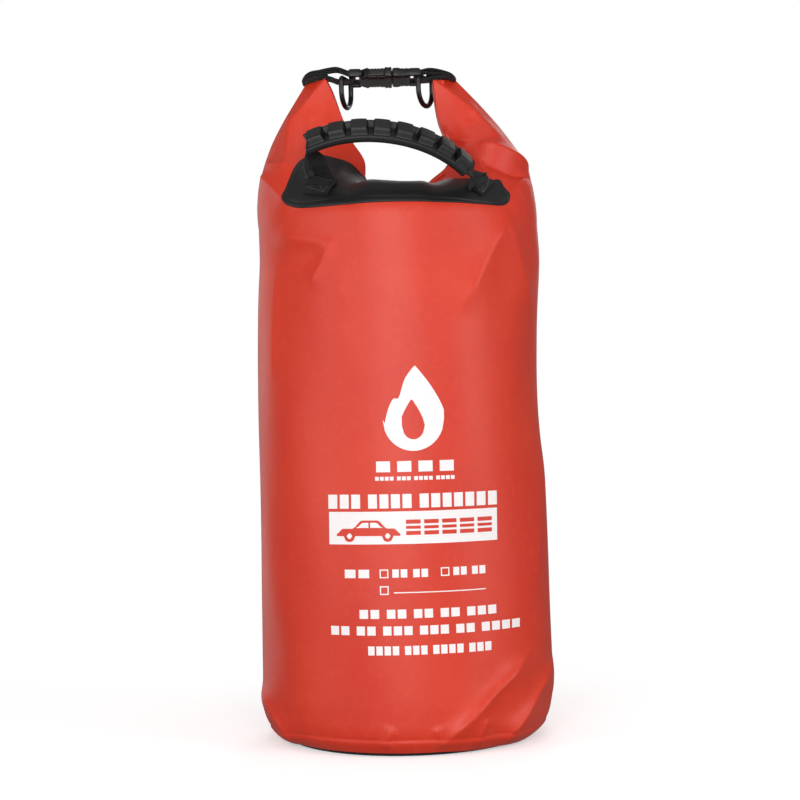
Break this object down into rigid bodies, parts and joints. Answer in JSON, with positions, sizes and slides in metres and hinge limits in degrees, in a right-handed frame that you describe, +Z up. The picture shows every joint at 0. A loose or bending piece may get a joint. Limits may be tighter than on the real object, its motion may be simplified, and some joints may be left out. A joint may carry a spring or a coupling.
{
  "type": "fire blanket in roll-top carry bag",
  "caption": "Cylindrical red roll-top carry bag for a folded car fire blanket, with black carry handle, side-release buckle, two rings and round base.",
  "frame": {"origin": "centre of the underside of the round base", "axes": "+Z up along the bag, front with the handle and the print towards -Y, +X to the viewer's right"},
  "size_m": [0.2391, 0.2555, 0.5602],
  "materials": {
    "coated_cloth": "smooth satin coated cloth",
    "black_coated_cloth": "satin coated cloth",
    "black_webbing": "ribbed webbing",
    "black_thread": "twisted thread",
    "black_rubber": "satin moulded",
    "black_plastic": "fine moulded texture",
    "white_ink": "screen print",
    "stiffener": "smooth strip",
    "blanket_cloth": "coarse glass-fibre weave"
  },
  "bodies": {
    "bag": {"body_tube": "coated_cloth", "base_disc": "black_coated_cloth", "top_panel": "coated_cloth", "left_shoulder": "coated_cloth", "right_shoulder": "coated_cloth", "mouth_roll": "coated_cloth", "mouth_stiffener": "stiffener", "handle_patch": "black_coated_cloth", "left_anchor": "black_webbing", "right_anchor": "black_webbing", "anchor_stitching": "black_thread", "front_print": "white_ink", "blanket_roll": "blanket_cloth", "blanket_pull_straps": "black_webbing"},
    "handle": {"handle_grip": "black_rubber", "handle_webbing": "black_webbing"},
    "left_arm": {"left_arm": "coated_cloth", "left_roll": "coated_cloth", "left_stiffener": "stiffener", "left_strap": "black_webbing", "left_strap_stitching": "black_thread"},
    "right_arm": {"right_arm": "coated_cloth", "right_roll": "coated_cloth", "right_stiffener": "stiffener", "right_strap": "black_webbing", "right_strap_stitching": "black_thread"},
    "left_ring": {"left_ring": "black_plastic"},
    "right_ring": {"right_ring": "black_plastic"},
    "socket": {"buckle_socket": "black_plastic"},
    "plug": {"buckle_plug": "black_plastic"},
    "front_latch": {"front_latch": "black_plastic"},
    "rear_latch": {"rear_latch": "black_plastic"}
  },
  "joints": [
    {"name": "handle_swing", "type": "hinge", "parent": "bag", "child": "handle", "pos_m": [0.001, -0.103, 0.453], "axis": [1, 0, 0], "range_deg": [-40, 38]},
    {"name": "left_splay", "type": "hinge", "parent": "bag", "child": "left_arm", "pos_m": [-0.073, 0, 0.455], "axis": [0, -1, 0], "range_deg": [0, 43], "deforming": ["front_latch", "rear_latch"]},
    {"name": "right_splay", "type": "hinge", "parent": "bag", "child": "right_arm", "pos_m": [0.057, 0, 0.455], "axis": [0, 1, 0], "range_deg": [0, 43], "deforming": ["front_latch", "rear_latch"]},
    {"name": "socket_turn", "type": "hinge", "parent": "left_arm", "child": "socket", "pos_m": [-0.036, 0, 0.5515], "axis": [0, 1, 0], "range_deg": [0, 43], "deforming": ["front_latch", "rear_latch"]},
    {"name": "plug_turn", "type": "hinge", "parent": "right_arm", "child": "plug", "pos_m": [0.02, 0, 0.5515], "axis": [0, -1, 0], "range_deg": [0, 43], "deforming": ["front_latch", "rear_latch"]},
    {"name": "front_squeeze", "type": "hinge", "parent": "plug", "child": "front_latch", "pos_m": [-0.0014, -0.0095, 0.5515], "axis": [0, 0, -1], "range_deg": [0, 9], "stiffness_Nm_per_rad": 0.3, "springref_deg": -2.86},
    {"name": "rear_squeeze", "type": "hinge", "parent": "plug", "child": "rear_latch", "pos_m": [-0.0014, 0.0095, 0.5515], "axis": [0, 0, 1], "range_deg": [0, 9], "stiffness_Nm_per_rad": 0.3, "springref_deg": -2.86},
    {"name": "left_ring_swing", "type": "hinge", "parent": "left_arm", "child": "left_ring", "pos_m": [-0.043, 0, 0.55], "axis": [0, 1, 0], "range_deg": [-35, 8]},
    {"name": "right_ring_swing", "type": "hinge", "parent": "right_arm", "child": "right_ring", "pos_m": [0.027, 0, 0.55], "axis": [0, 1, 0], "range_deg": [-12, 35]}
  ],
  "couplings": [
    {"joint": "right_splay", "follows": "left_splay", "ratio": 1},
    {"joint": "socket_turn", "follows": "left_splay", "ratio": 1},
    {"joint": "plug_turn", "follows": "left_splay", "ratio": 1}
  ]
}
